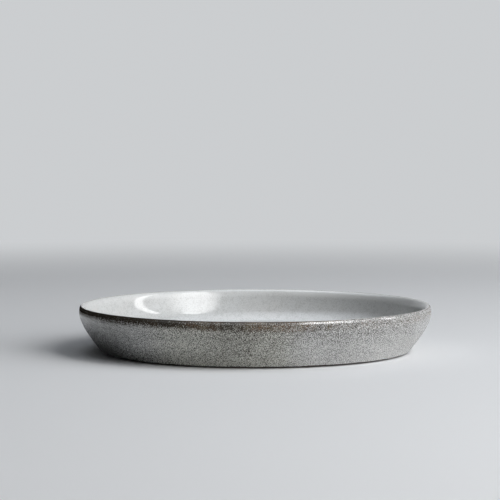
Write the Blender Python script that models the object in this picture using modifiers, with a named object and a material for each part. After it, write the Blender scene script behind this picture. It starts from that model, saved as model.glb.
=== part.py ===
"""Stoneware salad plate: one clay body with a foot ring, and the four coats fired onto it.

Every piece is turned about the vertical axis through the origin, which is the bottom centre.
The finished surface, from the foot up the outside, over the lip and down to the middle of the
well, is worked out once. The coats and the clay under them are all taken from that one curve.
"""

import math

import bpy

# Overall sizes, in metres
RIM_DIAMETER = 0.216
HEIGHT = 0.0282

# Outer wall: it leaves the foot leaning out and stands upright at the shoulder under the lip
WALL_FLARE = 0.013
WALL_LEAN = math.radians(39.0)
WALL_FULLNESS = 0.24
WALL_THICKNESS = 0.0050

# Lip: rounded, with its crest nearer the outer side and a longer roll on the inner one
LIP_HEIGHT = 0.0048
CREST_INSET = 0.0015
LIP_RISE = 0.75
LIP_ROUND = 0.6
ROLL_HEIGHT = 0.0052
ROLL_EASE = 0.5

# Well: a flat floor that curves up into a wall that leans out a little
FLOOR_HEIGHT = 0.0066
FLOOR_INSET = 0.0109
WELL_ROUND = 0.55
WELL_LEAN = math.radians(5.0)

# Foot ring: bare clay, set in under the edge of the outer coat
GLAZE_LINE = 0.0009
FOOT_INSET = 0.0035
FOOT_WIDTH = 0.0052
FOOT_DEPTH = 0.0018
FOOT_SLOPE = 0.0016
FOOT_ROUND = 0.0006

# Coats: the inner one turns over the crest by a little before the rim band begins
GLAZE_THICKNESS = 0.0005
BAND_HEIGHT = 0.0042
CREST_COVER = 0.0006
SEAT_GAP = 0.0003

# Facets
TURN_STEPS = 64
WALL_STEPS = 6
LIP_STEPS = 4
ROLL_STEPS = 5
WELL_STEPS = 8
ROUND_STEPS = 3
NEAR_SHARE = 0.15
MERGE_DISTANCE = 0.00001

RIM_RADIUS = RIM_DIAMETER / 2
CREST_RADIUS = RIM_RADIUS - CREST_INSET
INNER_RADIUS = RIM_RADIUS - WALL_THICKNESS
FOOT_RADIUS = RIM_RADIUS - WALL_FLARE
FLOOR_RADIUS = FOOT_RADIUS - FLOOR_INSET
SHOULDER_HEIGHT = HEIGHT - LIP_HEIGHT
WELL_TOP = HEIGHT - ROLL_HEIGHT
RING_OUTER = FOOT_RADIUS - FOOT_INSET
RING_INNER = RING_OUTER - FOOT_WIDTH
RECESS_RADIUS = RING_INNER - FOOT_SLOPE
COAT_DEPTH = GLAZE_THICKNESS + SEAT_GAP


def curve(controls, steps):
    """Points on the Bezier curve with these controls, both ends included."""
    degree = len(controls) - 1
    points = []
    for i in range(steps + 1):
        t = i / steps
        weights = [math.comb(degree, k) * t ** k * (1 - t) ** (degree - k) for k in range(degree + 1)]
        r = sum(w * control[0] for w, control in zip(weights, controls))
        z = sum(w * control[1] for w, control in zip(weights, controls))
        points.append((r, z))
    return points


def finished_surface():
    """The glazed surface from the foot, up the outside, over the lip and down to the middle of the well.

    Also gives the place of the crest in the list.
    """
    handle = WALL_FULLNESS * math.hypot(WALL_FLARE, SHOULDER_HEIGHT - GLAZE_LINE)
    foot = (FOOT_RADIUS, GLAZE_LINE)
    foot_handle = (
        FOOT_RADIUS + handle * math.sin(WALL_LEAN),
        GLAZE_LINE + handle * math.cos(WALL_LEAN),
    )
    shoulder = (RIM_RADIUS, SHOULDER_HEIGHT)
    wall = curve([foot, foot_handle, (RIM_RADIUS, SHOULDER_HEIGHT - handle), shoulder], WALL_STEPS)

    crest = (CREST_RADIUS, HEIGHT)
    rise = LIP_RISE * LIP_HEIGHT
    out_side = (RIM_RADIUS, SHOULDER_HEIGHT + rise)
    out_handle = (CREST_RADIUS + LIP_ROUND * (RIM_RADIUS - CREST_RADIUS), HEIGHT)
    lip_out = curve([shoulder, out_side, out_handle, crest], LIP_STEPS)

    lean_out, lean_up = math.sin(WELL_LEAN), math.cos(WELL_LEAN)
    well_edge = (INNER_RADIUS, WELL_TOP)
    ease = ROLL_EASE * ROLL_HEIGHT
    in_handle = (CREST_RADIUS + LIP_ROUND * (INNER_RADIUS - CREST_RADIUS), HEIGHT)
    in_side = (INNER_RADIUS + ease * lean_out, WELL_TOP + ease * lean_up)
    roll = curve([crest, in_handle, in_side, well_edge], ROLL_STEPS)

    drop = WELL_ROUND * (WELL_TOP - FLOOR_HEIGHT)
    wall_handle = (INNER_RADIUS - drop * lean_out, WELL_TOP - drop * lean_up)
    floor_handle = (FLOOR_RADIUS + WELL_ROUND * (INNER_RADIUS - FLOOR_RADIUS), FLOOR_HEIGHT)
    floor_edge = (FLOOR_RADIUS, FLOOR_HEIGHT)
    well = curve([well_edge, wall_handle, floor_handle, floor_edge], WELL_STEPS)

    surface = wall + lip_out[1:] + roll[1:] + well[1:] + [(0.0, FLOOR_HEIGHT)]
    return surface, WALL_STEPS + LIP_STEPS


def moved_in(points, depth):
    """The same curve, the given depth inside the finished surface."""
    facings = []
    for (r0, z0), (r1, z1) in zip(points, points[1:]):
        length = math.hypot(r1 - r0, z1 - z0)
        facings.append(((z1 - z0) / length, (r0 - r1) / length))
    befores = facings[:1] + facings
    afters = facings + facings[-1:]
    moved = []
    for (r, z), before, after in zip(points, befores, afters):
        share = depth / (1 + before[0] * after[0] + before[1] * after[1])
        moved.append((r - share * (before[0] + after[0]), z - share * (before[1] + after[1])))
    return moved


def distances(points):
    """How far along the curve each point is."""
    run = [0.0]
    for (r0, z0), (r1, z1) in zip(points, points[1:]):
        run.append(run[-1] + math.hypot(r1 - r0, z1 - z0))
    return run


def place(points, distance):
    """Where a distance along the curve falls: the number of points before it and the share of a facet."""
    run = distances(points)
    i = max(k for k in range(len(run) - 1) if run[k] <= distance)
    return i + (distance - run[i]) / (run[i + 1] - run[i])


def point_at(points, where):
    """The point of a curve at such a place."""
    i = min(int(where), len(points) - 2)
    share = where - i
    (r0, z0), (r1, z1) = points[i], points[i + 1]
    return r0 + share * (r1 - r0), z0 + share * (z1 - z0)


def stretch(points, first, last):
    """The part of a curve between two places, without points that nearly meet its ends."""
    between = [p for i, p in enumerate(points) if first + NEAR_SHARE < i < last - NEAR_SHARE]
    return [point_at(points, first), *between, point_at(points, last)]


def reach_outside(points, crest, height):
    """How far along the curve the outside reaches a height."""
    run = distances(points)
    for i in range(crest):
        z0, z1 = points[i][1], points[i + 1][1]
        if z0 <= height <= z1:
            return run[i] + (run[i + 1] - run[i]) * (height - z0) / (z1 - z0)
    raise ValueError("the rim band reaches below the outer coat")


def coat(surface, first, last=None):
    """Outline of a coat on the finished surface, with rounded ends.

    The ends are distances along the middle of the coat. Without a last one, it goes on to the axis.
    """
    edge = GLAZE_THICKNESS / 2
    middle = moved_in(surface, edge)
    back = moved_in(surface, GLAZE_THICKNESS)
    start = place(middle, first + edge)
    tips = [point_at(middle, place(middle, first))]
    if last is None:
        end = len(surface) - 1
        far_tips = []
    else:
        end = place(middle, last - edge)
        far_tips = [point_at(middle, place(middle, last))]
    return stretch(surface, start, end)[::-1] + tips + stretch(back, start, end) + far_tips


def rounded(before, corner, after):
    """A small round in place of a corner, starting one reach before it and ending one reach after."""
    ends = []
    for other in (before, after):
        share = FOOT_ROUND / math.hypot(other[0] - corner[0], other[1] - corner[1])
        ends.append(tuple(c + share * (o - c) for c, o in zip(corner, other)))
    return curve([ends[0], corner, ends[1]], ROUND_STEPS)


def foot_outline(top):
    """Bare clay below the outer coat: foot ring, the slope inside it and the recess to the axis."""
    outer = (RING_OUTER, 0.0)
    inner = (RING_INNER, 0.0)
    recess = (RECESS_RADIUS, FOOT_DEPTH)
    middle = (0.0, FOOT_DEPTH)
    ring = rounded(top, outer, inner) + rounded(outer, inner, recess)
    return ring + rounded(inner, recess, middle) + [middle]


def base_outline():
    """The coat under the recess, kept clear of the slope inside the foot ring."""
    top = FOOT_DEPTH - SEAT_GAP
    radius = RECESS_RADIUS - SEAT_GAP
    edge = GLAZE_THICKNESS / 2
    return [
        (0.0, top),
        (radius - edge, top),
        (radius, top - edge),
        (radius - edge, top - GLAZE_THICKNESS),
        (0.0, top - GLAZE_THICKNESS),
    ]


def turned(name, outline, closed, material, collection, parent):
    """One turned piece: its outline at +X, carried round the vertical axis by a Screw modifier."""
    mesh = bpy.data.meshes.new(name)
    count = len(outline)
    edges = [(i, i + 1) for i in range(count - 1)]
    if closed:
        edges.append((count - 1, 0))
    mesh.from_pydata([(r, 0.0, z) for r, z in outline], edges, [])
    mesh.materials.append(material)
    piece = bpy.data.objects.new(name, mesh)
    collection.objects.link(piece)
    piece.parent = parent
    screw = piece.modifiers.new("turn", "SCREW")
    screw.axis = "Z"
    screw.angle = math.tau
    screw.steps = TURN_STEPS
    screw.render_steps = TURN_STEPS
    screw.use_merge_vertices = True
    screw.merge_threshold = MERGE_DISTANCE
    screw.use_smooth_shade = True
    return piece


def finish(name, colour, roughness):
    """A Principled material of one colour and roughness. Fired clay and glaze aren't metal."""
    material = bpy.data.materials.new(name)
    material.use_nodes = True
    shader = material.node_tree.nodes["Principled BSDF"]
    shader.inputs["Base Color"].default_value = (*colour, 1.0)
    shader.inputs["Roughness"].default_value = roughness
    shader.inputs["Metallic"].default_value = 0.0
    return material


def main():
    for old in list(bpy.data.objects):
        bpy.data.objects.remove(old, do_unlink=True)
    plate = bpy.data.collections.new("salad_plate")
    bpy.context.scene.collection.children.link(plate)

    clay = finish("stoneware", (0.52, 0.44, 0.35), 0.85)
    pale = finish("pale_glaze", (0.60, 0.63, 0.64), 0.12)
    speckled = finish("speckled_glaze", (0.30, 0.30, 0.29), 0.45)
    brown = finish("iron_band", (0.085, 0.060, 0.042), 0.30)
    underside = finish("base_coat", (0.40, 0.40, 0.39), 0.40)

    surface, crest = finished_surface()
    middle = moved_in(surface, GLAZE_THICKNESS / 2)
    half_gap = SEAT_GAP / 2
    band_low = reach_outside(middle, crest, HEIGHT - BAND_HEIGHT)
    band_top = distances(middle)[crest] - CREST_COVER

    clay_skin = moved_in(surface, COAT_DEPTH)[::-1]
    body = turned("stoneware_body", clay_skin + foot_outline(clay_skin[-1]), False, clay, plate, None)
    outer = coat(surface, 0.0, band_low - half_gap)
    turned("outer_glaze", outer, True, speckled, plate, body)
    band = coat(surface, band_low + half_gap, band_top - half_gap)
    turned("rim_band", band, True, brown, plate, body)
    inner = coat(surface, band_top + half_gap)
    turned("inner_glaze", inner, False, pale, plate, body)
    turned("base_glaze", base_outline(), False, underside, plate, body)


main()
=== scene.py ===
"""Looks of a stoneware salad plate: its clay and the four coats fired onto it, on a studio floor.

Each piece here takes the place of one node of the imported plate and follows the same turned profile.
Sizes are in metres and colours linear. The plate's axis is Z, and the camera looks along Y.
"""

import math

import bmesh
import bpy
import numpy as np
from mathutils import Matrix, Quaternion, Vector


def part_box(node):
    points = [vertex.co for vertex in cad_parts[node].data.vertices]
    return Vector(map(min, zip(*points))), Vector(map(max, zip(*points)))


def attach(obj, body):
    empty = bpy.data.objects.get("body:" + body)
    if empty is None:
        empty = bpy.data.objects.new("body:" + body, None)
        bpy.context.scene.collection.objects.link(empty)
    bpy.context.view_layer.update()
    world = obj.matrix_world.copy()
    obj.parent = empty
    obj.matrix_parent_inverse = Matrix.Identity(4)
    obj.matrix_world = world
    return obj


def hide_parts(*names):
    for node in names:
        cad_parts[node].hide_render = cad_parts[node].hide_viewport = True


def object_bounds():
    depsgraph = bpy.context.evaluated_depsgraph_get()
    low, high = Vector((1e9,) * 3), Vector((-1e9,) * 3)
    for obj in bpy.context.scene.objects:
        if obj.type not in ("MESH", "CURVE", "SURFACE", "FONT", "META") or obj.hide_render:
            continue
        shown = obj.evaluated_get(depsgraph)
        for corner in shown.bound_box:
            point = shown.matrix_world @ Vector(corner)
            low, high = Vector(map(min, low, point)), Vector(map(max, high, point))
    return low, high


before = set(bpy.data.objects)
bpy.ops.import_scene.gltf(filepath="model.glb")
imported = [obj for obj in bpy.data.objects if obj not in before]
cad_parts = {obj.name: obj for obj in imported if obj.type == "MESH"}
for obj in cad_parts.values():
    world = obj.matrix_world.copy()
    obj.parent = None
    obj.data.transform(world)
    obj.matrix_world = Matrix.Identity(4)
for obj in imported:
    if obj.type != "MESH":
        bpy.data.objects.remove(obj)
cad_low, cad_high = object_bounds()

MM = 0.001

# Profile of the finished plate, as packed
RIM_RADIUS = cad_high.x
HEIGHT = cad_high.z
WALL_FLARE = 13.0 * MM
WALL_LEAN = math.radians(39.0)
WALL_FULLNESS = 0.24
WALL_THICKNESS = 5.0 * MM
LIP_HEIGHT = 4.8 * MM
CREST_INSET = 1.5 * MM
LIP_RISE = 0.75
ROLL_HEIGHT = 5.2 * MM
ROLL_EASE = 0.50
LIP_ROUND = 0.6
FLOOR_HEIGHT = 6.6 * MM
FLOOR_INSET = 10.9 * MM
WELL_ROUND = 0.55
WELL_LEAN = math.radians(5.0)
GLAZE_LINE = 0.9 * MM
CURVE_STEPS = 160

# Foot ring of bare clay and the recess inside it
FOOT_INSET = 3.5 * MM
FOOT_WIDTH = 5.2 * MM
FOOT_DEPTH = 1.8 * MM
FOOT_SLOPE = 1.6 * MM
FOOT_ROUND = 0.6 * MM
ROUND_STEPS = 8

# Coats: how deep their faces lie under the finished surface
COAT_BACK = 0.50 * MM
CLAY_DEPTH = 0.53 * MM
OUTER_DEPTH = 0.06 * MM
FILM_EDGE = 0.045 * MM
FILM_BACK = 0.055 * MM
TUCK_DEPTH = 0.13 * MM
INNER_FILM = 0.11 * MM

# Coats: how far they reach along the surface and lap over each other
LAP = 0.85 * MM
FILM_LENGTH = 1.2 * MM
BAND_TUCK = 0.45 * MM
TUCK_LENGTH = 0.8 * MM
CREST_COVER = 0.3 * MM
BEAD_HEIGHT = 0.09 * MM
BEAD_PLACE = 0.9 * MM
BEAD_REACH = 0.7 * MM
BEAD_END = 4 * BEAD_PLACE
NOSE_STEPS = 6

# Spacing of the outlines' points
LIP_SPACING = 0.25 * MM
WALL_SPACING = 0.6 * MM
FLOOR_SPACING = 3.5 * MM
BACK_SPACING = 1.2 * MM

# Turning
TURNS = 360
CLAY_TURNS = 240
HUB_RADIUS = 50.0 * MM
MERGE_DISTANCE = 0.001 * MM

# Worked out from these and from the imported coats
FOOT_RADIUS = RIM_RADIUS - WALL_FLARE
CREST_RADIUS = RIM_RADIUS - CREST_INSET
INNER_RADIUS = RIM_RADIUS - WALL_THICKNESS
FLOOR_RADIUS = FOOT_RADIUS - FLOOR_INSET
SHOULDER_HEIGHT = HEIGHT - LIP_HEIGHT
WELL_TOP = HEIGHT - ROLL_HEIGHT
RING_OUTER = FOOT_RADIUS - FOOT_INSET
RING_INNER = RING_OUTER - FOOT_WIDTH
RECESS_RADIUS = RING_INNER - FOOT_SLOPE
BAND_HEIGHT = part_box("rim_band")[0].z
BASE_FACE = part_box("base_glaze")[0].z
BASE_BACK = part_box("base_glaze")[1].z
BASE_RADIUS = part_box("base_glaze")[1].x

# Base coat, where it creeps towards the foot ring: how high it starts and ends, and its gap to the clay
CREEP_START = 1.2 * BASE_FACE
CREEP_END = BASE_FACE - CLAY_DEPTH / 2
CREEP_GAP = CLAY_DEPTH / 12


def bezier(controls, steps):
    """Points on the Bezier curve with these controls, both ends included."""
    degree = len(controls) - 1
    t = np.linspace(0.0, 1.0, steps + 1)[:, None]
    weights = [math.comb(degree, k) * t**k * (1 - t) ** (degree - k) for k in range(degree + 1)]
    return sum(weight * np.array(control) for weight, control in zip(weights, controls))


def eased(value, low, high):
    """0 below low, 1 above high and a smooth rise between them."""
    share = min(max((value - low) / (high - low), 0.0), 1.0)
    return share * share * (3 - 2 * share)


def spaced(first, last, spacing):
    """Distances from first to last, about this far apart."""
    return np.linspace(first, last, max(2, round(abs(last - first) / spacing) + 1))


class Skin:
    """The finished surface as a curve of radius and height: up the wall, over the lip, to the axis."""

    def __init__(self):
        handle = WALL_FULLNESS * math.hypot(WALL_FLARE, SHOULDER_HEIGHT - GLAZE_LINE)
        foot = (FOOT_RADIUS, GLAZE_LINE)
        foot_handle = (foot[0] + handle * math.sin(WALL_LEAN), foot[1] + handle * math.cos(WALL_LEAN))
        shoulder = (RIM_RADIUS, SHOULDER_HEIGHT)
        crest = (CREST_RADIUS, HEIGHT)
        inner = (INNER_RADIUS, WELL_TOP)
        floor_edge = (FLOOR_RADIUS, FLOOR_HEIGHT)
        rise = LIP_RISE * LIP_HEIGHT
        ease = ROLL_EASE * ROLL_HEIGHT
        drop = WELL_ROUND * (WELL_TOP - FLOOR_HEIGHT)
        lean_out, lean_up = math.sin(WELL_LEAN), math.cos(WELL_LEAN)
        out_side = (RIM_RADIUS, SHOULDER_HEIGHT + rise)
        in_side = (INNER_RADIUS + ease * lean_out, WELL_TOP + ease * lean_up)
        out_handle = (CREST_RADIUS + LIP_ROUND * (RIM_RADIUS - CREST_RADIUS), HEIGHT)
        in_handle = (CREST_RADIUS + LIP_ROUND * (INNER_RADIUS - CREST_RADIUS), HEIGHT)
        well_handle = (INNER_RADIUS - drop * lean_out, WELL_TOP - drop * lean_up)
        floor_handle = (FLOOR_RADIUS + WELL_ROUND * (INNER_RADIUS - FLOOR_RADIUS), FLOOR_HEIGHT)
        stretches = [
            [foot, foot_handle, (RIM_RADIUS, SHOULDER_HEIGHT - handle), shoulder],
            [shoulder, out_side, out_handle, crest],
            [crest, in_handle, in_side, inner],
            [inner, well_handle, floor_handle, floor_edge],
            [floor_edge, (0.0, FLOOR_HEIGHT)],
        ]
        curves = [bezier(controls, CURVE_STEPS) for controls in stretches]
        self.points = np.vstack([curves[0]] + [curve[1:] for curve in curves[1:]])
        steps = np.hypot(*np.diff(self.points, axis=0).T)
        self.run = np.concatenate([[0.0], np.cumsum(steps)])
        slopes = np.gradient(self.points, self.run, axis=0)
        self.ways = slopes / np.hypot(*slopes.T)[:, None]
        self.shoulder, self.crest, self.inner, self.floor_edge, self.axis = (
            self.run[CURVE_STEPS * count] for count in range(1, len(stretches) + 1)
        )

    def way(self, distance):
        """Direction of the curve this far along it."""
        return np.array([np.interp(distance, self.run, column) for column in self.ways.T])

    def facing(self, distance):
        """Direction out of the surface this far along it."""
        out, up = self.way(distance)
        return np.array([up, -out])

    def at(self, distance, depth=0.0):
        """The point this far along the curve and this deep under the surface."""
        point = np.array([np.interp(distance, self.run, column) for column in self.points.T])
        return point - depth * self.facing(distance)

    def reach(self, height):
        """How far along the outside a height is."""
        outside = self.run <= self.crest
        return float(np.interp(height, self.points[outside, 1], self.run[outside]))


class Outline:
    """A piece's outline, and how much each point follows the glaze's waves and its wandering edge."""

    def __init__(self, skin):
        self.skin = skin
        self.points = []
        self.sinks = []
        self.slides = []

    def bare(self, points):
        """Adds points that nothing moves."""
        for point in points:
            self.points.append(tuple(point))
            self.sinks.append((0.0, 0.0))
            self.slides.append((0.0, 0.0))

    def under(self, distance, depth, wave=0.0, slide=0.0):
        """Adds the point at this distance and depth: wave and slide say how much of each it follows."""
        self.points.append(tuple(self.skin.at(distance, depth)))
        self.sinks.append(tuple(-wave * self.skin.facing(distance)))
        self.slides.append(tuple(slide * self.skin.way(distance)))

    def along(self, distances, depth, wave=0.0):
        """Adds a run of points at one depth."""
        for distance in distances:
            self.under(distance, depth, wave)

    def nose(self, end, front, back, inward=1, slide=0.0):
        """Adds a coat's rounded end, which is at this distance.

        It goes from back to front where the coat lies beyond it, and the other way where inward is -1.
        """
        radius = (back - front) / 2
        for step in range(1, NOSE_STEPS):
            share = step / NOSE_STEPS
            angle = math.pi * (1 - share if inward > 0 else share)
            distance = end + inward * radius * (1 - math.sin(angle))
            depth = front + radius * (1 - math.cos(angle))
            self.under(distance, depth, (1 + math.cos(angle)) / 2, slide)

    def mesh(self, name, closed):
        """The outline as edges, laid flat the way that Curve to Mesh takes it: X outward and Y down.

        One that starts and ends on the axis is left open there.
        """
        count = len(self.points)
        edges = [(i, i + 1) for i in range(count - 1)]
        if closed:
            edges.append((count - 1, 0))
        mesh = bpy.data.meshes.new(name)
        mesh.from_pydata([(r - HUB_RADIUS, -z, 0.0) for r, z in self.points], edges, [])
        for title, pairs in (("sink", self.sinks), ("slide", self.slides)):
            attribute = mesh.attributes.new(title, "FLOAT_VECTOR", "POINT")
            flat = [part for out, up in pairs for part in (out, 0.0, up)]
            attribute.data.foreach_set("vector", flat)
        return mesh


class Wire:
    """One output of a node. Arithmetic on it adds the Math nodes that the expression needs."""

    def __init__(self, nodes, socket):
        self.nodes = nodes
        self.socket = socket

    def out(self, name):
        """Another output of the same node."""
        return Wire(self.nodes, self.socket.node.outputs[name])

    def __add__(self, other):
        return self.nodes.math("ADD", self, other)

    def __sub__(self, other):
        return self.nodes.math("SUBTRACT", self, other)

    def __rsub__(self, other):
        return self.nodes.math("SUBTRACT", other, self)

    def __mul__(self, other):
        return self.nodes.math("MULTIPLY", self, other)

    def __truediv__(self, other):
        return self.nodes.math("DIVIDE", self, other)

    def __rtruediv__(self, other):
        return self.nodes.math("DIVIDE", other, self)

    __radd__ = __add__
    __rmul__ = __mul__


class Nodes:
    """A node tree, and the one way in which nodes are added to it."""

    # Sockets of a Mix node's colours, by their order
    FIRST_COLOUR = 6
    SECOND_COLOUR = 7
    MIXED_COLOUR = 2

    def __init__(self, tree):
        self.tree = tree

    def add(self, kind, sockets=None, output=0, **settings):
        """Adds a node: its settings first, then its sockets' values or links. Gives one output."""
        node = self.tree.nodes.new(kind)
        for name, value in settings.items():
            setattr(node, name, value)
        for name, value in (sockets or {}).items():
            self.plug(value, node.inputs[name])
        return Wire(self, node.outputs[output]) if node.outputs else None

    def plug(self, value, socket):
        """Links a wire to a socket, or sets a plain value on it."""
        if isinstance(value, Wire):
            self.tree.links.new(value.socket, socket)
        else:
            socket.default_value = value

    def math(self, operation, first, second):
        return self.add("ShaderNodeMath", {0: first, 1: second}, operation=operation)

    def vector(self, operation, *vectors):
        return self.add("ShaderNodeVectorMath", dict(enumerate(vectors)), operation=operation)

    def measure(self, operation, *vectors):
        """A number taken from vectors, such as a length."""
        return self.add("ShaderNodeVectorMath", dict(enumerate(vectors)), "Value", operation=operation)

    def scaled(self, vector, scale):
        return self.add("ShaderNodeVectorMath", {0: vector, "Scale": scale}, operation="SCALE")

    def level(self, vector):
        """The vector without its height."""
        return self.vector("MULTIPLY", vector, (1.0, 1.0, 0.0))

    def parts(self, vector):
        """The vector's X, with its Y and Z as the other outputs."""
        return self.add("ShaderNodeSeparateXYZ", {"Vector": vector})

    def rise(self, value, low, high):
        """0 up to low, 1 from high on and a smooth rise between them. Low may be the greater number."""
        sockets = {"Value": value, "From Min": low, "From Max": high}
        return self.add("ShaderNodeMapRange", sockets, interpolation_type="SMOOTHSTEP")

    def span(self, value, first, second):
        """1 between two edges, each given by where it is 0 and where it is 1."""
        return self.rise(value, *first) * self.rise(value, *second)

    def mix(self, share, first, second):
        """A colour between two, by a share from 0 to 1."""
        colours = [c if isinstance(c, Wire) else (*c, 1.0) for c in (first, second)]
        sockets = {0: share, self.FIRST_COLOUR: colours[0], self.SECOND_COLOUR: colours[1]}
        return self.add("ShaderNodeMix", sockets, self.MIXED_COLOUR, data_type="RGBA")

    def noise(self, place, size, seed, detail, roughness=0.5):
        """Soft noise with lumps of this size."""
        scale = 1 / size
        sockets = {"Vector": place, "W": seed, "Scale": scale, "Detail": detail, "Roughness": roughness}
        return self.add("ShaderNodeTexNoise", sockets, noise_dimensions="4D")

    def spots(self, place, spacing, seed, smallest, largest, edge):
        """1 inside round spots, at most one to a cell of this spacing. Sizes are shares of a cell."""
        moved = self.vector("ADD", place, (seed * spacing, -seed * spacing, 0.5 * seed * spacing))
        cell = self.add("ShaderNodeTexVoronoi", {"Vector": moved, "Scale": 1 / spacing})
        luck = self.add("ShaderNodeSeparateColor", {"Color": cell.out("Color")})
        reach = smallest + (largest - smallest) * luck
        return self.rise(reach - cell, 0.0, edge)


def turned_shell_tree():
    """Carries an outline round the axis, sinks its glaze in low waves and lets its edges wander."""
    tree = bpy.data.node_groups.new("turned_shell", "GeometryNodeTree")
    inputs = {
        "Outline": "NodeSocketGeometry",
        "Turns": "NodeSocketInt",
        "Wave Height": "NodeSocketFloat",
        "Wave Size": "NodeSocketFloat",
        "Edge Wander": "NodeSocketFloat",
        "Wander Size": "NodeSocketFloat",
        "Seed": "NodeSocketInt",
        "Finish": "NodeSocketMaterial",
    }
    for name, kind in inputs.items():
        tree.interface.new_socket(name, in_out="INPUT", socket_type=kind)
    tree.interface.new_socket("Shell", in_out="OUTPUT", socket_type="NodeSocketGeometry")
    nodes = Nodes(tree)
    given = nodes.add("NodeGroupInput")
    outline = nodes.add("GeometryNodeMeshToCurve", {"Mesh": given.out("Outline")})
    ring = {"Resolution": given.out("Turns"), "Radius": HUB_RADIUS}
    hub = nodes.add("GeometryNodeCurvePrimitiveCircle", ring)
    shell = nodes.add("GeometryNodeCurveToMesh", {"Curve": hub, "Profile Curve": outline})

    place = nodes.add("GeometryNodeInputPosition")
    spoke = nodes.vector("NORMALIZE", nodes.level(place))

    def turned(title):
        """A direction kept on the outline, turned with the point that it belongs to."""
        kept = nodes.add("GeometryNodeInputNamedAttribute", {"Name": title}, data_type="FLOAT_VECTOR")
        parts = nodes.parts(kept)
        upright = nodes.add("ShaderNodeCombineXYZ", {"Z": parts.out("Z")})
        return nodes.vector("ADD", nodes.scaled(spoke, parts.out("X")), upright)

    waves = nodes.noise(place, given.out("Wave Size"), given.out("Seed"), detail=1.0)
    round_rim = nodes.scaled(spoke, RIM_RADIUS)
    wander = nodes.noise(round_rim, given.out("Wander Size"), given.out("Seed") + 1.0, detail=1.0)
    sunk = nodes.scaled(turned("sink"), waves * given.out("Wave Height"))
    slid = nodes.scaled(turned("slide"), (wander * 2.0 - 1.0) * given.out("Edge Wander"))
    offset = nodes.vector("ADD", sunk, slid)
    shell = nodes.add("GeometryNodeSetPosition", {"Geometry": shell, "Offset": offset})
    shell = nodes.add("GeometryNodeMergeByDistance", {"Geometry": shell, "Distance": MERGE_DISTANCE})
    shell = nodes.add("GeometryNodeSetShadeSmooth", {"Geometry": shell})
    shell = nodes.add("GeometryNodeRealizeInstances", {"Geometry": shell})
    finished = {"Geometry": shell, "Material": given.out("Finish")}
    shell = nodes.add("GeometryNodeSetMaterial", finished)
    nodes.add("NodeGroupOutput", {"Shell": shell})
    return tree


TURNED_SHELL = turned_shell_tree()


def turned_piece(name, outline, finish, sizes, closed=False):
    """One piece of the plate as a plain mesh: its outline turned by the tree with these sizes."""
    piece = bpy.data.objects.new(name, outline.mesh(name, closed))
    bpy.context.scene.collection.objects.link(piece)
    modifier = piece.modifiers.new("turned_shell", "NODES")
    modifier.node_group = TURNED_SHELL
    sockets = {
        item.name: item.identifier
        for item in TURNED_SHELL.interface.items_tree
        if item.in_out == "INPUT"
    }
    for title, value in {**sizes, "Finish": finish}.items():
        modifier[sockets[title]] = value
    evaluated = piece.evaluated_get(bpy.context.evaluated_depsgraph_get())
    mesh = bpy.data.meshes.new_from_object(evaluated)
    piece.modifiers.clear()
    piece.data = mesh
    for title in ("sink", "slide"):
        mesh.attributes.remove(mesh.attributes[title])
    shell = bmesh.new()
    shell.from_mesh(mesh)
    bmesh.ops.recalc_face_normals(shell, faces=shell.faces)
    shell.to_mesh(mesh)
    shell.free()
    return piece


def on_plate(piece, node):
    """Stands the piece in for a node of the plate."""
    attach(piece, "root")
    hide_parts(node)


# Outlines of the five pieces


def outer_outline(skin, band):
    """Outer coat: from a rolled bead above the foot up the wall and a little way under the rim band."""
    outline = Outline(skin)
    top = band + LAP
    radius = (COAT_BACK - OUTER_DEPTH) / 2

    def front(distance):
        """Depth of the front face, with its bead."""
        away = (distance - BEAD_PLACE) / BEAD_REACH
        return OUTER_DEPTH - BEAD_HEIGHT * math.exp(-away * away)

    def follow(distance):
        """How much a point follows the wandering edge."""
        return 1 - eased(distance, radius, BEAD_END)

    for distance in spaced(top - radius, radius, BACK_SPACING):
        outline.under(distance, COAT_BACK, slide=follow(distance))
    outline.nose(0.0, front(radius), COAT_BACK, slide=1.0)
    for distance in spaced(radius, BEAD_END, LIP_SPACING)[:-1]:
        outline.under(distance, front(distance), 1.0, follow(distance))
    outline.along(spaced(BEAD_END, top - radius, WALL_SPACING), OUTER_DEPTH, 1.0)
    outline.nose(top, OUTER_DEPTH, COAT_BACK, inward=-1)
    return outline


def band_outline(skin, band, top):
    """Rim band: a film feathered out over the outer coat, then a full coat, tucked in at its top."""
    outline = Outline(skin)
    film_end = band + LAP

    def front(distance):
        """Depth of the front face, feathered below and tucked in above."""
        feather = FILM_EDGE * (1 - eased(distance, band, band + FILM_LENGTH))
        return feather + TUCK_DEPTH * eased(distance, top - TUCK_LENGTH, top - BAND_TUCK)

    def full(distance):
        """0 on the film and 1 on the full coat."""
        return eased(distance, film_end + LIP_SPACING / 2, film_end + 2 * LIP_SPACING)

    def follow(distance):
        """How much a point follows the wandering edge."""
        return 1 - eased(distance, band, film_end)

    for distance in spaced(top, band, LIP_SPACING)[1:]:
        share = full(distance)
        depth = FILM_BACK + (COAT_BACK - FILM_BACK) * share
        outline.under(distance, depth, 1 - share, follow(distance))
    for distance in spaced(band, top, LIP_SPACING):
        outline.under(distance, front(distance), 1.0, follow(distance))
    return outline


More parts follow.
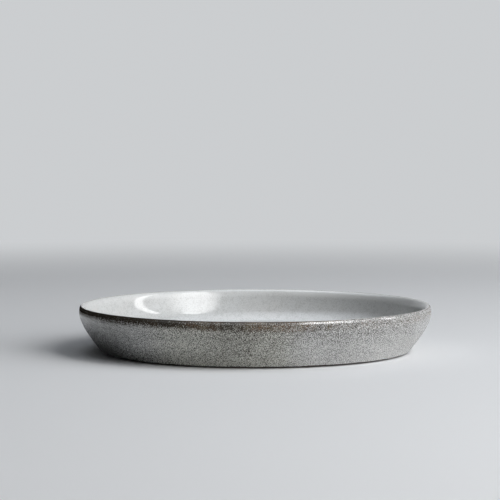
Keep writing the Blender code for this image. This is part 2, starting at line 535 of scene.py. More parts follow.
def inner_outline(skin, edge):
    """Inner coat: from a crisp edge just outside the crest over the lip and down to the axis."""
    outline = Outline(skin)
    radius = INNER_FILM / 2
    film_end = edge + 2 * BAND_TUCK

    def depth(distance):
        """Depth of the back face: a film at the edge, then the full coat."""
        share = eased(distance, film_end - BAND_TUCK / 2, film_end + BAND_TUCK / 2)
        return INNER_FILM + (COAT_BACK - INNER_FILM) * share

    def follow(distance):
        """How much a point follows the wandering edge."""
        return 1 - eased(distance, edge, film_end)

    outline.along(spaced(skin.axis, skin.floor_edge, FLOOR_SPACING)[:-1], COAT_BACK)
    outline.along(spaced(skin.floor_edge, film_end + BAND_TUCK, BACK_SPACING)[:-1], COAT_BACK)
    for distance in spaced(film_end + BAND_TUCK, edge + radius, LIP_SPACING / 2):
        outline.under(distance, depth(distance), slide=follow(distance))
    outline.nose(edge, 0.0, INNER_FILM, slide=1.0)
    for distance in spaced(edge + radius, film_end, LIP_SPACING / 2)[:-1]:
        outline.under(distance, 0.0, eased(distance, edge, film_end), follow(distance))
    outline.along(spaced(film_end, skin.inner, LIP_SPACING)[:-1], 0.0, 1.0)
    outline.along(spaced(skin.inner, skin.floor_edge, WALL_SPACING)[:-1], 0.0, 1.0)
    outline.along(spaced(skin.floor_edge, skin.axis, FLOOR_SPACING), 0.0, 1.0)
    return outline


def rounded(before, corner, after):
    """A small round in place of a corner, starting one reach before it and ending one reach after."""
    back, on = before - corner, after - corner
    first = corner + FOOT_ROUND * back / np.hypot(*back)
    last = corner + FOOT_ROUND * on / np.hypot(*on)
    return bezier([first, corner, last], ROUND_STEPS)


def clay_outline(skin):
    """The clay: under the coats from the axis over the lip to the foot, then the ring and recess."""
    outline = Outline(skin)
    outline.along(spaced(skin.axis, skin.floor_edge, FLOOR_SPACING)[:-1], CLAY_DEPTH)
    outline.along(spaced(skin.floor_edge, skin.inner, BACK_SPACING)[:-1], CLAY_DEPTH)
    outline.along(spaced(skin.inner, skin.shoulder, 2 * LIP_SPACING)[:-1], CLAY_DEPTH)
    outline.along(spaced(skin.shoulder, 0.0, BACK_SPACING), CLAY_DEPTH)
    shelf = np.array(outline.points[-1])
    outer = np.array([RING_OUTER, 0.0])
    inner = np.array([RING_INNER, 0.0])
    recess = np.array([RECESS_RADIUS, FOOT_DEPTH])
    middle = np.array([0.0, FOOT_DEPTH])
    outline.bare(rounded(shelf, outer, inner))
    outline.bare(rounded(outer, inner, recess))
    outline.bare(rounded(inner, recess, middle))
    level = spaced(RECESS_RADIUS - 2 * FOOT_ROUND, 0.0, FLOOR_SPACING)
    outline.bare((radius, FOOT_DEPTH) for radius in level)
    return outline


def base_outline(skin):
    """Base coat: a flat pool in the recess that creeps up the slope inside the foot ring."""
    outline = Outline(skin)
    slope = np.array([RECESS_RADIUS - RING_INNER, FOOT_DEPTH]) / FOOT_DEPTH
    seat = np.array([RING_INNER - CREEP_GAP, 0.0])
    tip = seat + slope * CREEP_END
    heel = seat + slope * CREEP_START
    flat = np.array([BASE_RADIUS - FOOT_SLOPE, BASE_FACE])
    corner = np.array([tip[0] - FOOT_ROUND, BASE_FACE])
    outline.bare((radius, BASE_BACK) for radius in spaced(0.0, BASE_RADIUS, FLOOR_SPACING))
    outline.bare(bezier([heel, tip], ROUND_STEPS))
    outline.bare(bezier([tip, corner, flat], ROUND_STEPS)[1:])
    outline.bare((radius, BASE_FACE) for radius in spaced(flat[0], 0.0, FLOOR_SPACING)[1:])
    return outline


# Finishes

GREY_PEPPER = (0.048, 0.048, 0.046)
GREY_ASH = (0.090, 0.0895, 0.087)
GREY_SALT = (0.585, 0.582, 0.570)
# Paler salt for the painted sheen up the wall's left side
GREY_PAINTED_SHEEN = (0.760, 0.758, 0.744)
GREY_LOW = (0.26, 0.26, 0.255)
FLECK_DARK = (0.070, 0.064, 0.056)
WARM_TINT = (1.0, 1.0, 0.935)
UMBER = (0.048, 0.042, 0.034)
RUST = (0.190, 0.124, 0.084)
VEIL = (0.165, 0.142, 0.114)
OLIVE = (0.150, 0.130, 0.080)
PALE_COOL = (0.565, 0.576, 0.574)
PALE_WARM = (0.575, 0.573, 0.562)
PALE_DEEP = (0.412, 0.418, 0.410)
PALE_THIN = (0.430, 0.415, 0.380)
# Paler tone for the lip's roll: partly the glaze breaking thin, partly painted light
PALE_BREAK_AND_LIGHT = (0.720, 0.728, 0.720)
CLAY_BUFF = (0.520, 0.440, 0.350)
CLAY_DARK = (0.340, 0.265, 0.195)
CLAY_GROG = (0.620, 0.560, 0.480)
# Near-black painted shade for the undercut round the foot ring
CLAY_PAINTED_SHADE = (0.075, 0.056, 0.042)

# Mean of a noise
MEAN = 0.5


def new_finish(name):
    """A new material, its nodes, its shader node and the place on the piece that wears it."""
    material = bpy.data.materials.new(name)
    material.use_nodes = True
    nodes = Nodes(material.node_tree)
    shader = material.node_tree.nodes["Principled BSDF"]
    place = nodes.add("ShaderNodeTexCoord", output="Object")
    return material, nodes, shader, place


def across_and_up(nodes, place):
    """How far across the plate a place is, from -1 on the left to 1 on the right, and its height."""
    parts = nodes.parts(place)
    return parts / RIM_RADIUS, parts.out("Z")


def from_axis(nodes, place):
    """How far from the plate's axis a place is."""
    return nodes.measure("LENGTH", nodes.level(place))


def turned_rings(nodes, radius, grooves):
    """Rings round the axis that the turning left."""
    return nodes.noise(nodes.add("ShaderNodeCombineXYZ", {"X": radius}), **grooves)


def bumped(nodes, shader, height, distance):
    """Lets a height field dent the surface by up to this distance."""
    normal = nodes.add("ShaderNodeBump", {"Height": height, "Distance": distance})
    nodes.plug(normal, shader.inputs["Normal"])


def coated(nodes, shader, weight, roughness, ior):
    """Lays a clear gloss over the surface, as much of it as the weight says."""
    nodes.plug(weight, shader.inputs["Coat Weight"])
    shader.inputs["Coat Roughness"].default_value = roughness
    shader.inputs["Coat IOR"].default_value = ior


# Speckle of the grey coats
GREY_GRAIN = {"size": 0.40 * MM, "seed": 1, "detail": 0.8}
GREY_MOTTLE = {"size": 1.5 * MM, "seed": 2, "detail": 1.0}
GREY_CLOUD = {"size": 26.0 * MM, "seed": 3, "detail": 2.0}
GREY_SPECKS = {"spacing": 2.6 * MM, "seed": 11, "smallest": -0.25, "largest": 0.22, "edge": 0.12}
MOTTLE_SWING = 0.08
CLOUD_SWING = 0.08
PEPPER_TO_SALT = (0.385, 0.555)
SPECK_SHARE = 0.6


def grey_speckle(nodes, place, lift, pepper, salt):
    """Salt and pepper grain with slow clouds and a few dark specks: lift makes salt of more of it."""
    grain = nodes.noise(place, **GREY_GRAIN)
    mottle = nodes.noise(place, **GREY_MOTTLE)
    cloud = nodes.noise(place, **GREY_CLOUD)
    tone = grain + MOTTLE_SWING * (mottle - MEAN) + CLOUD_SWING * (cloud - MEAN) + lift
    dark = nodes.spots(place, **GREY_SPECKS)
    colour = nodes.mix(nodes.rise(tone, *PEPPER_TO_SALT), pepper, salt)
    return nodes.mix(SPECK_SHARE * dark, colour, FLECK_DARK), grain


# The wall's grey: edges of its stretches across the plate, each from where it is 0 to where it is 1
# Left side and its far end: painted sheen high up the wall and painted shade low down
PAINTED_LIGHT_SIDE = (-0.10, -0.55)
PAINTED_LIGHT_END = (-0.62, -0.95)
MIDDLE = ((-0.25, -0.05), (0.20, 0.05))
DEEPER = ((0.05, 0.35), (0.98, 0.80))
BELLY = ((-0.20, -0.36), (-0.72, -0.52))
ASHY = (-0.6, 0.6)
WARM = ((-0.66, -0.40), (0.28, 0.08))

# The wall's grey: how each stretch lifts or lowers the salt, by height where it says so
HEIGHT_DROP = 1.6
# Painted sheen above the middle height and painted shade below it, up the left side and most at its far
# end
PAINTED_LIGHT_SLOPE = 6.5
PAINTED_LIGHT_MIDDLE = 14.0 * MM
PAINTED_SHADE_DROP = 0.012
PAINTED_END_SLOPE = 9.0
PAINTED_END_MIDDLE = 21.0 * MM
MIDDLE_DROP = 0.018
DEEPER_DROP = 0.032
DEEPER_HEIGHTS = (10.0 * MM, 22.0 * MM)
BELLY_LIFT = 0.045
BELLY_HEIGHTS = (19.0 * MM, 13.0 * MM)
BELLY_DROP = 0.010
ASHY_LIFT = 0.016


def wall_grey(nodes, place):
    """The wall's grey by stretches: up its left side painted sheen high up and painted shade low down.
    """
    across, height = across_and_up(nodes, place)
    painted_light = nodes.rise(across, *PAINTED_LIGHT_SIDE)
    end = nodes.rise(across, *PAINTED_LIGHT_END)
    deeper = nodes.span(across, *DEEPER) * nodes.rise(height, *DEEPER_HEIGHTS)
    belly = nodes.span(across, *BELLY)
    ashy = nodes.rise(across, *ASHY)
    # Painted sheen high up the left side and painted shade low down, the most at the far left
    lift = painted_light * (PAINTED_LIGHT_SLOPE * (height - PAINTED_LIGHT_MIDDLE) - PAINTED_SHADE_DROP) - HEIGHT_DROP * height
    lift = lift + end * PAINTED_END_SLOPE * (height - PAINTED_END_MIDDLE)
    lift = lift - MIDDLE_DROP * nodes.span(across, *MIDDLE) - DEEPER_DROP * deeper
    lift = lift + belly * (BELLY_LIFT * nodes.rise(height, *BELLY_HEIGHTS) - BELLY_DROP)
    lift = lift + ASHY_LIFT * ashy
    pepper = nodes.mix(ashy, GREY_PEPPER, GREY_ASH)
    # Paler salt up the left side: painted sheen
    salt = nodes.mix(painted_light, GREY_SALT, GREY_PAINTED_SHEEN)
    colour, grain = grey_speckle(nodes, place, lift, pepper, salt)
    tinted = nodes.vector("MULTIPLY", colour, WARM_TINT)
    return nodes.mix(nodes.span(across, *WARM), colour, tinted), grain


# How the brown lies: edges across the plate, each from where it is 0 to where it is 1
BROWN_DRIFT = {"size": 24.0 * MM, "seed": 5, "detail": 1.0}
DRIFT_SWING = 0.2
# The brown is thick and dark on the left and faint on the right: partly the band's own unevenness,
# partly painted shade on the left and painted light on the right
THICK_AND_SHADED = (-0.10, -0.70)
CRISP = (-0.78, -0.96)
FULL = (0.50, -0.10)
RUNNING = ((-0.48, -0.14), (0.40, 0.04))
FAINT_AND_LIT = (0.34, 0.52)


def brown_lie(nodes, place):
    """Shares by which the brown is thick and shaded, crisp at its edge, full, running down or faint and
    lit; its dark left is partly painted shade and its faint right partly painted light.
    """
    drift = nodes.noise(place, **BROWN_DRIFT)
    across = nodes.parts(place) / RIM_RADIUS + DRIFT_SWING * (drift - MEAN)
    return {
        "everywhere": 1.0,
        "thick_and_shaded": nodes.rise(across, *THICK_AND_SHADED),
        "crisp": nodes.rise(across, *CRISP),
        "full": nodes.rise(across, *FULL),
        "running": nodes.span(across, *RUNNING),
        "faint_and_lit": nodes.rise(across, *FAINT_AND_LIT),
    }


def weighed(lie, weights):
    """The sum of these weights of how the brown lies."""
    return sum(weight * lie[manner] for manner, weight in weights.items())


# How much of the grey the brown covers, and where its torn edge lies
BROWN_RAGGED = {"size": 4.0 * MM, "seed": 6, "detail": 2.0}
TEAR = 1.2 * MM
CRISP_EVENS = 0.8
EDGE_HEIGHT = {"everywhere": BAND_HEIGHT - 0.9 * MM, "thick_and_shaded": 2.4 * MM}
EDGE_SOFTNESS = {"everywhere": 1.8 * MM, "thick_and_shaded": -0.7 * MM, "crisp": -0.85 * MM}
RIM_COVER = {"everywhere": 0.44, "full": 0.18, "thick_and_shaded": 0.42, "faint_and_lit": -0.23}
NEAR_COVER = {"everywhere": 0.36, "thick_and_shaded": 0.22, "crisp": -0.36, "faint_and_lit": -0.05}
FAR_COVER = {"everywhere": 0.22, "full": -0.16}
CREST_BROWN = {"everywhere": 1.0, "faint_and_lit": -0.9}
RUN_COVER = 0.24
NEAR_BAND = (BAND_HEIGHT - 3.0 * MM, BAND_HEIGHT + 1.0 * MM)
FAR_BAND = (BAND_HEIGHT - 13.0 * MM, BAND_HEIGHT)
CREST_EDGE = (HEIGHT - 0.75 * MM, HEIGHT - 0.45 * MM)


def brown_cover(nodes, height, tear, lie):
    """Share of the grey that the brown covers: the most on the rim, and less and less down the wall."""
    edge = weighed(lie, EDGE_HEIGHT)
    soft = weighed(lie, EDGE_SOFTNESS)
    torn = height + tear * (1 - CRISP_EVENS * lie["crisp"])
    solid = nodes.rise(torn, edge - soft, edge + soft)
    wall = weighed(lie, NEAR_COVER) * nodes.rise(torn, *NEAR_BAND)
    wall = wall + weighed(lie, FAR_COVER) * nodes.rise(torn, *FAR_BAND)
    wall = wall + RUN_COVER * lie["running"]
    crest = nodes.rise(height, *CREST_EDGE) * weighed(lie, CREST_BROWN)
    return wall + solid * (weighed(lie, RIM_COVER) - wall) + crest


# A thin stain under the brown
VEIL_SHARE = 0.34
VEIL_SHIFT = 0.8 * MM


def brown_veil(nodes, height, tear, lie):
    """Share of the grey that a thin stain tints under the brown, just below the rim."""
    torn = height + tear - VEIL_SHIFT * lie["thick_and_shaded"]
    return VEIL_SHARE * lie["full"] * nodes.rise(torn, *NEAR_BAND)


# Flecks of the brown
BROWN_FINE = {"size": 0.42 * MM, "seed": 7, "detail": 0.5}
BROWN_LUMPS = {"size": 2.2 * MM, "seed": 10, "detail": 1.0}
LUMP_SWING = 0.16
BARE_BAR = 0.70
COVER_DROP = 0.40
FLECK_EDGE = (-0.03, 0.03)


def brown_flecks(nodes, place, cover):
    """1 where the brown lies: flecks that close up as the cover grows."""
    fine = nodes.noise(place, **BROWN_FINE)
    lumps = nodes.noise(place, **BROWN_LUMPS)
    bar = BARE_BAR - COVER_DROP * cover
    return nodes.rise(fine + LUMP_SWING * (lumps - MEAN) - bar, *FLECK_EDGE)


# Colour of the brown
RUST_PATCHES = {"size": 15.0 * MM, "seed": 8, "detail": 1.0}
RUST_FROM = (0.35, 0.58)
OLIVE_PATCHES = {"size": 12.0 * MM, "seed": 9, "detail": 1.0}
OLIVE_FROM = (0.50, 0.66)
OLIVE_SHARE = 0.8
FIRED_GRAIN = {"size": 0.46 * MM, "seed": 12, "detail": 0.5}
FIRED_FROM = (0.38, 0.62)
# How much of its umber the thick brown keeps; that brown is partly painted shade
THICK_AND_SHADED_STAYS = 0.9
THIN_BAND = (BAND_HEIGHT - 4.0 * MM, BAND_HEIGHT)


def brown_colour(nodes, place, height, thick_and_shaded):
    """The brown itself: umber, with stretches that fired to rust and to olive where it is thin."""
    rust = nodes.rise(nodes.noise(place, **RUST_PATCHES), *RUST_FROM)
    olive = nodes.rise(nodes.noise(place, **OLIVE_PATCHES), *OLIVE_FROM)
    fired = nodes.rise(nodes.noise(place, **FIRED_GRAIN), *FIRED_FROM)
    thinned = (1 - THICK_AND_SHADED_STAYS * thick_and_shaded) * fired * nodes.rise(height, *THIN_BAND)
    colour = nodes.mix(thinned * rust, UMBER, RUST)
    return nodes.mix(OLIVE_SHARE * thinned * olive, colour, OLIVE)


# Surface of the outside
SATIN = 0.50
SATIN_SWING = 0.2
OUTSIDE_BUMP = 0.03 * MM
BROWN_SINKS = 0.5


def outside_glaze(name, shine):
    """The speckled grey with the brown over it, alike on wall and rim, so that they run together."""
    material, nodes, shader, place = new_finish(name)
    height = nodes.parts(place).out("Z")
    tear = TEAR * (nodes.noise(place, **BROWN_RAGGED) - MEAN)
    lie = brown_lie(nodes, place)
    colour, grain = wall_grey(nodes, place)
    colour = nodes.mix(brown_veil(nodes, height, tear, lie), colour, VEIL)
    brown = brown_flecks(nodes, place, brown_cover(nodes, height, tear, lie))
    colour = nodes.mix(brown, colour, brown_colour(nodes, place, height, lie["thick_and_shaded"]))
    nodes.plug(colour, shader.inputs["Base Color"])
    nodes.plug(SATIN + SATIN_SWING * (grain - MEAN), shader.inputs["Roughness"])
    shader.inputs["Specular IOR Level"].default_value = shine
    bumped(nodes, shader, grain - BROWN_SINKS * brown, OUTSIDE_BUMP)
    return material, nodes, shader, place, lie


# Gloss of the wall
WALL_SHINE = 0.25
WALL_COAT = {"roughness": 0.25, "ior": 1.8}
WALL_COAT_SHARE = 0.9
RIGHT_END = (0.80, 0.96)
UPPER_WALL = (11.0 * MM, 18.0 * MM)


def speckled_glaze():
    """The wall: satin, and glossier high up at its two ends."""
    material, nodes, shader, place, lie = outside_glaze("speckled_grey_glaze", WALL_SHINE)
    across, height = across_and_up(nodes, place)
    ends = lie["crisp"] + nodes.rise(across, *RIGHT_END)
    upper = nodes.rise(height, *UPPER_WALL)
    coated(nodes, shader, WALL_COAT_SHARE * ends * upper, **WALL_COAT)
    return material


# Gloss of the rim
RIM_SHINE = 0.0
RIM_COAT = {"roughness": 0.10, "ior": 2.0}
LIP_ROLL = ((HEIGHT - 2.0 * MM, HEIGHT - 1.4 * MM), (HEIGHT - 0.40 * MM, HEIGHT - 0.65 * MM))


def rim_glaze():
    """The rim: dull, and glossy only on the roll of the lip where the brown is thin."""
    material, nodes, shader, place, lie = outside_glaze("brown_rim_glaze", RIM_SHINE)
    lip = nodes.span(nodes.parts(place).out("Z"), *LIP_ROLL)
    coated(nodes, shader, lip * (1 - lie["thick_and_shaded"]), **RIM_COAT)
    return material


# The pale inside: colour
PALE_CLOUD = {"size": 34.0 * MM, "seed": 21, "detail": 2.0}
PALE_GRAIN = {"size": 0.6 * MM, "seed": 22, "detail": 1.0}
PALE_MOTTLE = {"size": 3.4 * MM, "seed": 25, "detail": 1.0}
PALE_PEEL = {"size": 2.6 * MM, "seed": 24, "detail": 1.0}
PALE_SPECKS = {"spacing": 3.6 * MM, "seed": 23, "smallest": -0.20, "largest": 0.085, "edge": 0.04}
COOL_TO_WARM = (0.4, 0.7)
MOTTLE_IN_GRAIN = 0.4
DEEP_FROM = (0.42, 0.72)
DEEP_SHARE = 0.8
PALE_SPECK_SHARE = 0.45

# The pale inside: paler on the lip's roll, partly where the glaze breaks thin and partly painted light,
# by a share for all of it and more or less on some stretches, the most on the right
BREAK_AND_LIGHT_HEIGHTS = (HEIGHT - 5.5 * MM, HEIGHT - 2.5 * MM)
BREAK_AND_LIGHT_RAGGED = 1.5 * MM
BREAK_AND_LIGHT_SHARE = 0.25
BREAK_AND_LIGHT_CHANGES = ((-0.25, (-0.65, -0.85)), (0.60, (0.05, 0.40)), (0.25, (-0.40, -0.60)))

# The pale inside: thin and warm on the crest
THIN_HEIGHTS = (HEIGHT - 0.35 * MM, HEIGHT)
THIN_RAGGED = 0.5 * MM
THIN_SHARE = 0.5

# The pale inside: gloss, which use has dulled on the floor
PALE_IOR = 1.6
PALE_SHINE = 0.65
PALE_ROUGHNESS = 0.05
CLOUD_ROUGHNESS = 0.05
GRAIN_ROUGHNESS = 0.03
USED_ROUGHNESS = 0.40
USED_HEIGHTS = (FLOOR_HEIGHT + 2.2 * MM, FLOOR_HEIGHT + 0.2 * MM)
PEEL_BUMP = 0.012 * MM


def pale_glaze():
    """Inside: smooth pale gloss with slow clouds, a faint grain and few specks, duller on the floor."""
    material, nodes, shader, place = new_finish("pale_gloss_glaze")
    across, height = across_and_up(nodes, place)
    cloud = nodes.noise(place, **PALE_CLOUD)
    grain = nodes.noise(place, **PALE_GRAIN)
    mottle = nodes.noise(place, **PALE_MOTTLE)
    peel = nodes.noise(place, **PALE_PEEL)
    speck = nodes.spots(place, **PALE_SPECKS)
    colour = nodes.mix(nodes.rise(cloud, *COOL_TO_WARM), PALE_COOL, PALE_WARM)
    deep = nodes.rise(grain + MOTTLE_IN_GRAIN * (mottle - MEAN), *DEEP_FROM)
    colour = nodes.mix(DEEP_SHARE * deep, colour, PALE_DEEP)
    # Paler on the lip's roll: partly the glaze breaking thin and partly painted light, the most on the
    # right
    roll = nodes.rise(height + BREAK_AND_LIGHT_RAGGED * (mottle - MEAN), *BREAK_AND_LIGHT_HEIGHTS)
    break_and_light = BREAK_AND_LIGHT_SHARE
    for change, stretch in BREAK_AND_LIGHT_CHANGES:
        break_and_light = break_and_light + change * nodes.rise(across, *stretch)
    colour = nodes.mix(break_and_light * roll, colour, PALE_BREAK_AND_LIGHT)
    colour = nodes.mix(PALE_SPECK_SHARE * speck, colour, FLECK_DARK)
    thin = nodes.rise(height + THIN_RAGGED * (peel - MEAN), *THIN_HEIGHTS)
    colour = nodes.mix(THIN_SHARE * thin, colour, PALE_THIN)
    rough = PALE_ROUGHNESS + CLOUD_ROUGHNESS * cloud + GRAIN_ROUGHNESS * grain
    rough = rough + USED_ROUGHNESS * nodes.rise(height, *USED_HEIGHTS)
    shader.inputs["IOR"].default_value = PALE_IOR
    shader.inputs["Specular IOR Level"].default_value = PALE_SHINE
    nodes.plug(colour, shader.inputs["Base Color"])
    nodes.plug(rough, shader.inputs["Roughness"])
    bumped(nodes, shader, peel, PEEL_BUMP)
    return material


# The coat under the plate
BASE_LIFT = 0.0
BASE_RAGGED = {"size": 7.0 * MM, "seed": 31, "detail": 2.0}
BASE_GROOVES = {"size": 1.6 * MM, "seed": 32, "detail": 2.0}
BASE_TEAR = 3.0 * MM
BASE_EDGE = (BASE_RADIUS - 3.0 * MM, BASE_RADIUS + 0.5 * MM)
BASE_EDGE_SHARE = 0.6
GROOVE_FROM = (0.45, 0.8)
GROOVE_SHARE = 0.25
BASE_ROUGHNESS = 0.38
BASE_GRAIN_ROUGHNESS = 0.25
BASE_EDGE_ROUGHNESS = 0.15
GRAIN_IN_GROOVES = 0.3
BASE_BUMP = 0.05 * MM


def base_glaze():
    """Under the plate: the speckled grey, thinner, with the turning's rings and brown at its edge."""
    material, nodes, shader, place = new_finish("thin_base_glaze")
    colour, grain = grey_speckle(nodes, place, BASE_LIFT, GREY_ASH, GREY_SALT)
    radius = from_axis(nodes, place)
    ragged = nodes.noise(place, **BASE_RAGGED)
    rings = turned_rings(nodes, radius, BASE_GROOVES)
    edge = nodes.rise(radius + BASE_TEAR * (ragged - MEAN), *BASE_EDGE)
    colour = nodes.mix(GROOVE_SHARE * nodes.rise(rings, *GROOVE_FROM), colour, GREY_LOW)
    colour = nodes.mix(BASE_EDGE_SHARE * edge, colour, RUST)
    rough = BASE_ROUGHNESS + BASE_GRAIN_ROUGHNESS * (grain - MEAN) + BASE_EDGE_ROUGHNESS * edge
    nodes.plug(colour, shader.inputs["Base Color"])
    nodes.plug(rough, shader.inputs["Roughness"])
    bumped(nodes, shader, rings + GRAIN_IN_GROOVES * grain, BASE_BUMP)
    return material


# Bare clay
SAND = {"size": 0.6 * MM, "seed": 41, "detail": 3.0, "roughness": 0.65}
TINT = {"size": 14.0 * MM, "seed": 42, "detail": 2.0}
CLAY_GROOVES = {"size": 0.7 * MM, "seed": 43, "detail": 1.0}
GROG = {"spacing": 1.2 * MM, "seed": 44, "smallest": -0.25, "largest": 0.30, "edge": 0.10}
PITS = {"spacing": 1.7 * MM, "seed": 45, "smallest": -0.25, "largest": 0.24, "edge": 0.10}
SAND_SHARE = 0.6
TINT_SHARE = 0.4
DARK_TO_BUFF = (0.35, 0.65)
GROG_SHARE = 0.6
PIT_SHARE = 0.7
DIRT_SHARE = 0.3
WORN_HEIGHTS = (0.02 * MM, 0.30 * MM)
PAINTED_SHADE_RAGGED = 0.6 * MM
PAINTED_SHADE_EDGE = (RING_OUTER - 0.9 * MM, RING_OUTER - 0.3 * MM)
CLAY_ROUGHNESS = 0.9
WORN_SMOOTHER = 0.22
GROOVES_IN_SAND = 0.6
CLAY_BUMP = 0.08 * MM


def bare_clay():
    """The foot's bare clay: sandy buff with grog, turning rings, a little dirt where it stands and
    near-black painted shade round the ring's outer edge under the wall.
    """
    material, nodes, shader, place = new_finish("bare_stoneware")
    radius = from_axis(nodes, place)
    sand = nodes.noise(place, **SAND)
    tint = nodes.noise(place, **TINT)
    rings = turned_rings(nodes, radius, CLAY_GROOVES)
    grog = nodes.spots(place, **GROG)
    pits = nodes.spots(place, **PITS)
    worn = 1 - nodes.rise(nodes.parts(place).out("Z"), *WORN_HEIGHTS)
    buff = nodes.rise(SAND_SHARE * sand + TINT_SHARE * tint, *DARK_TO_BUFF)
    colour = nodes.mix(buff, CLAY_DARK, CLAY_BUFF)
    colour = nodes.mix(GROG_SHARE * grog, colour, CLAY_GROG)
    colour = nodes.mix(PIT_SHARE * pits, colour, CLAY_DARK)
    colour = nodes.mix(DIRT_SHARE * worn * rings, colour, CLAY_DARK)
    # Painted shade, near black, round the ring's outer edge and under the wall's overhang
    painted_shade = nodes.rise(radius + PAINTED_SHADE_RAGGED * (tint - MEAN), *PAINTED_SHADE_EDGE)
    colour = nodes.mix(painted_shade, colour, CLAY_PAINTED_SHADE)
    nodes.plug(colour, shader.inputs["Base Color"])
    nodes.plug(CLAY_ROUGHNESS - WORN_SMOOTHER * worn, shader.inputs["Roughness"])
    bumped(nodes, shader, sand + GROOVES_IN_SAND * rings - pits, CLAY_BUMP)
    return material


# The plate

STILL = {"Wave Height": 0.0, "Wave Size": 1.0, "Edge Wander": 0.0, "Wander Size": 1.0}
OUTSIDE_WAVES = {"Wave Height": 0.07 * MM, "Wave Size": 11.0 * MM, "Seed": 3}
INSIDE_WAVES = {"Wave Height": 0.10 * MM, "Wave Size": 22.0 * MM, "Seed": 8}

skin = Skin()
band_edge = skin.reach(BAND_HEIGHT)
inner_edge = skin.crest - CREST_COVER

clay = turned_piece(
    "plate_clay",
    clay_outline(skin),
    bare_clay(),
    {"Turns": CLAY_TURNS, "Seed": 1, **STILL},
)
on_plate(clay, "stoneware_body")

outer = turned_piece(
    "plate_outer_glaze",
    outer_outline(skin, band_edge),
    speckled_glaze(),
    {"Turns": TURNS, "Edge Wander": 0.45 * MM, "Wander Size": 13.0 * MM, **OUTSIDE_WAVES},
    closed=True,
)
on_plate(outer, "outer_glaze")

rim = turned_piece(
    "plate_rim_band",
    band_outline(skin, band_edge, inner_edge + BAND_TUCK),
    rim_glaze(),
    {"Turns": TURNS, "Edge Wander": 0.7 * MM, "Wander Size": 6.0 * MM, **OUTSIDE_WAVES},
    closed=True,
)
on_plate(rim, "rim_band")

inner = turned_piece(
    "plate_inner_glaze",
    inner_outline(skin, inner_edge),
    pale_glaze(),
    {"Turns": TURNS, "Edge Wander": 0.20 * MM, "Wander Size": 9.0 * MM, **INSIDE_WAVES},
)
on_plate(inner, "inner_glaze")

base = turned_piece(
    "plate_base_glaze",
    base_outline(skin),
    base_glaze(),
    {"Turns": CLAY_TURNS, "Seed": 5, **STILL},
)
on_plate(base, "base_glaze")


# Studio

CAMERA_PLACE = (-0.0032, -1.400, 0.1605)
CAMERA_PITCH = math.radians(4.039)
LENS = 164.7
SENSOR = 36.0

FLOOR_REACH = 2.4
FLOOR_SIDES = 96
FLOOR_GAP = 0.1 * MM
FLOOR_COLOUR = (0.84, 0.85, 0.86)
FLOOR_ROUGHNESS = 0.9
FLOOR_SHINE = 0.2
SOFT_HORIZON = (0.50, 1.05)
BACKGROUND = (0.60, 0.615, 0.63)
AMBIENT = 0.006

# Lamps: angles are in degrees, and FILLED is how much of its box a lamp's shape fills
NEUTRAL = (1.0, 1.0, 1.0)
COOL = (0.94, 0.99, 1.06)
FILLED = {"RECTANGLE": 1.0, "ELLIPSE": math.pi / 4}
KEY_AZIMUTH = 56.0
KEY_SIDES = ((-0.80, -0.43), (0.40, -0.14))
SIDE_BOW = 0.12
SIDE_LIGHT = 0.13
SHEEN_HEIGHT = 1.37
SHEEN_CENTRE = (-0.35, 0.35, SHEEN_HEIGHT)
SHEEN_FADE = (1.35, 0.1)


def seen(nodes):
    """1 for the rays that show the background: from the camera, in gloss and through clear things."""
    path = nodes.add("ShaderNodeLightPath")
    shown = nodes.math("MAXIMUM", path.out("Is Camera Ray"), path.out("Is Glossy Ray"))
    return nodes.math("MAXIMUM", shown, path.out("Is Transmission Ray"))


def studio_floor():
    """A pale round floor that keeps the plate's shadow and turns into the background far from it."""
    mesh = bpy.data.meshes.new("studio_floor")
    disc = bmesh.new()
    bmesh.ops.create_circle(disc, cap_ends=True, segments=FLOOR_SIDES, radius=FLOOR_REACH)
    bmesh.ops.translate(disc, verts=disc.verts, vec=(0.0, 0.0, -FLOOR_GAP))
    disc.to_mesh(mesh)
    disc.free()
    floor = bpy.data.objects.new("studio_floor", mesh)
    bpy.context.scene.collection.objects.link(floor)
    material, nodes, shader, place = new_finish("pale_floor")
    shader.inputs["Base Color"].default_value = (*FLOOR_COLOUR, 1.0)
    shader.inputs["Roughness"].default_value = FLOOR_ROUGHNESS
    shader.inputs["Specular IOR Level"].default_value = FLOOR_SHINE
    far = nodes.rise(nodes.measure("LENGTH", place), *SOFT_HORIZON) * seen(nodes)
    glow = nodes.add("ShaderNodeEmission", {"Color": (*BACKGROUND, 1.0)})
    near = Wire(nodes, shader.outputs["BSDF"])
    surface = nodes.add("ShaderNodeMixShader", {0: far, 1: near, 2: glow})
    nodes.plug(surface, material.node_tree.nodes["Material Output"].inputs["Surface"])
    mesh.materials.append(material)


def studio_world():
    """Pale where it is seen, and a weak even light everywhere else."""
    world = bpy.data.worlds.new("studio")
    world.use_nodes = True
    nodes = Nodes(world.node_tree)
    backdrop = world.node_tree.nodes["Background"]
    backdrop.inputs["Color"].default_value = (*BACKGROUND, 1.0)
    shown = Wire(nodes, backdrop.outputs["Background"])
    dim = nodes.add("ShaderNodeBackground", {"Color": (*NEUTRAL, 1.0), "Strength": AMBIENT})
    surface = nodes.add("ShaderNodeMixShader", {0: seen(nodes), 1: dim, 2: shown})
    nodes.plug(surface, world.node_tree.nodes["World Output"].inputs["Surface"])
    bpy.context.scene.world = world


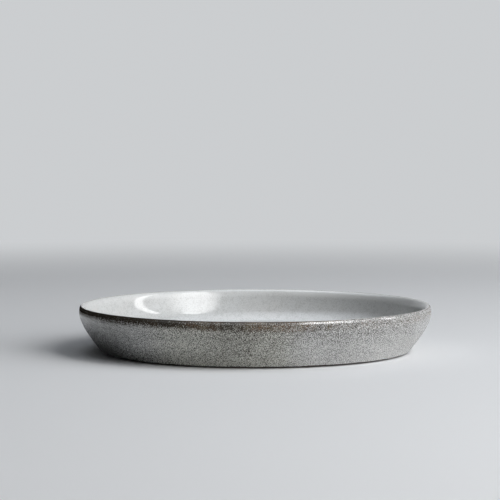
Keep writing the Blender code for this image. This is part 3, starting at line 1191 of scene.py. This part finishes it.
def softbox(name, azimuth, reach, height, size, radiance, colour=NEUTRAL, shape="ELLIPSE", **manner):
    """A soft lamp that faces the plate: azimuth 0 is the camera's side and 90 the right.

    The manner may be upright, a lean in the lamp's own plane, glossy=False for a lamp that isn't
    mirrored, or diffuse=False for one that is only mirrored. Gives the lamp's light.
    """
    lamp = bpy.data.lights.new(name, "AREA")
    lamp.shape = shape
    lamp.size, lamp.size_y = size
    lamp.color = colour
    area = size[0] * size[1] * FILLED[shape]
    lamp.energy = radiance * math.pi * area
    turn = math.radians(azimuth)
    place = Vector((reach * math.sin(turn), -reach * math.cos(turn), height))
    back = Vector((place.x, place.y, 0.0 if manner.get("upright") else height)).normalized()
    lean = Quaternion((0.0, 0.0, 1.0), -math.radians(manner.get("lean", 0.0)))
    light = bpy.data.objects.new(name, lamp)
    light.location = place
    light.rotation_mode = "QUATERNION"
    light.rotation_quaternion = back.to_track_quat("Z", "Y") @ lean
    light.visible_camera = False
    light.visible_glossy = manner.get("glossy", True)
    light.visible_diffuse = manner.get("diffuse", True)
    bpy.context.scene.collection.objects.link(light)
    return lamp


def lamp_face(lamp):
    """A lamp's nodes, the spot on its face and the socket of its strength."""
    lamp.use_nodes = True
    nodes = Nodes(lamp.node_tree)
    spot = nodes.add("ShaderNodeNewGeometry", output="Position")
    return nodes, spot, lamp.node_tree.nodes["Emission"].inputs["Strength"]


def soft_sides(lamp, azimuth, left, right):
    """Dims a lamp towards its sides, which bow as they rise: left and right say where each fades."""
    nodes, spot, strength = lamp_face(lamp)
    turn = math.radians(azimuth)
    along = nodes.measure("DOT_PRODUCT", spot, (math.cos(turn), math.sin(turn), 0.0))
    height = nodes.parts(spot).out("Z")
    bright = nodes.span(along - SIDE_BOW * height * height, left, right)
    nodes.plug(SIDE_LIGHT + (1 - SIDE_LIGHT) * bright, strength)


def soft_edge(lamp, centre, fade):
    """Dims a lamp away from this point: dark at the fade's first distance and full at its second."""
    nodes, spot, strength = lamp_face(lamp)
    nodes.plug(nodes.rise(nodes.measure("DISTANCE", spot, centre), *fade), strength)


def photo_camera():
    """The camera at the photograph's place."""
    data = bpy.data.cameras.new("photo_camera")
    data.lens = LENS
    data.sensor_width = SENSOR
    camera = bpy.data.objects.new("photo_camera", data)
    camera.location = CAMERA_PLACE
    camera.rotation_euler = (math.pi / 2 - CAMERA_PITCH, 0.0, 0.0)
    bpy.context.scene.collection.objects.link(camera)
    bpy.context.scene.camera = camera


studio_floor()
studio_world()
key = softbox(
    "key",
    azimuth=KEY_AZIMUTH,
    reach=1.2,
    height=0.6,
    size=(1.34, 4.6),
    radiance=4.8,
    upright=True,
    lean=12.5,
)
soft_sides(key, KEY_AZIMUTH, *KEY_SIDES)
softbox(
    "edge_strip",
    azimuth=95.9,
    reach=1.2,
    height=0.62,
    size=(0.175, 1.35),
    radiance=4.3,
    shape="RECTANGLE",
    upright=True,
    lean=4.9,
)
softbox(
    "side_light",
    azimuth=80.0,
    reach=1.21,
    height=0.70,
    size=(0.60, 1.1),
    radiance=2.4,
    colour=COOL,
    glossy=False,
)
softbox(
    "overhead",
    azimuth=180.0,
    reach=0.2,
    height=1.4,
    size=(1.5, 1.3),
    radiance=0.62,
    colour=COOL,
)
sheen = softbox(
    "overhead_sheen",
    azimuth=225.0,
    reach=0.5,
    height=SHEEN_HEIGHT,
    size=(2.7, 2.7),
    radiance=1.9,
    colour=COOL,
    diffuse=False,
)
soft_edge(sheen, SHEEN_CENTRE, SHEEN_FADE)
photo_camera()
bpy.context.scene.view_settings.view_transform = "Standard"
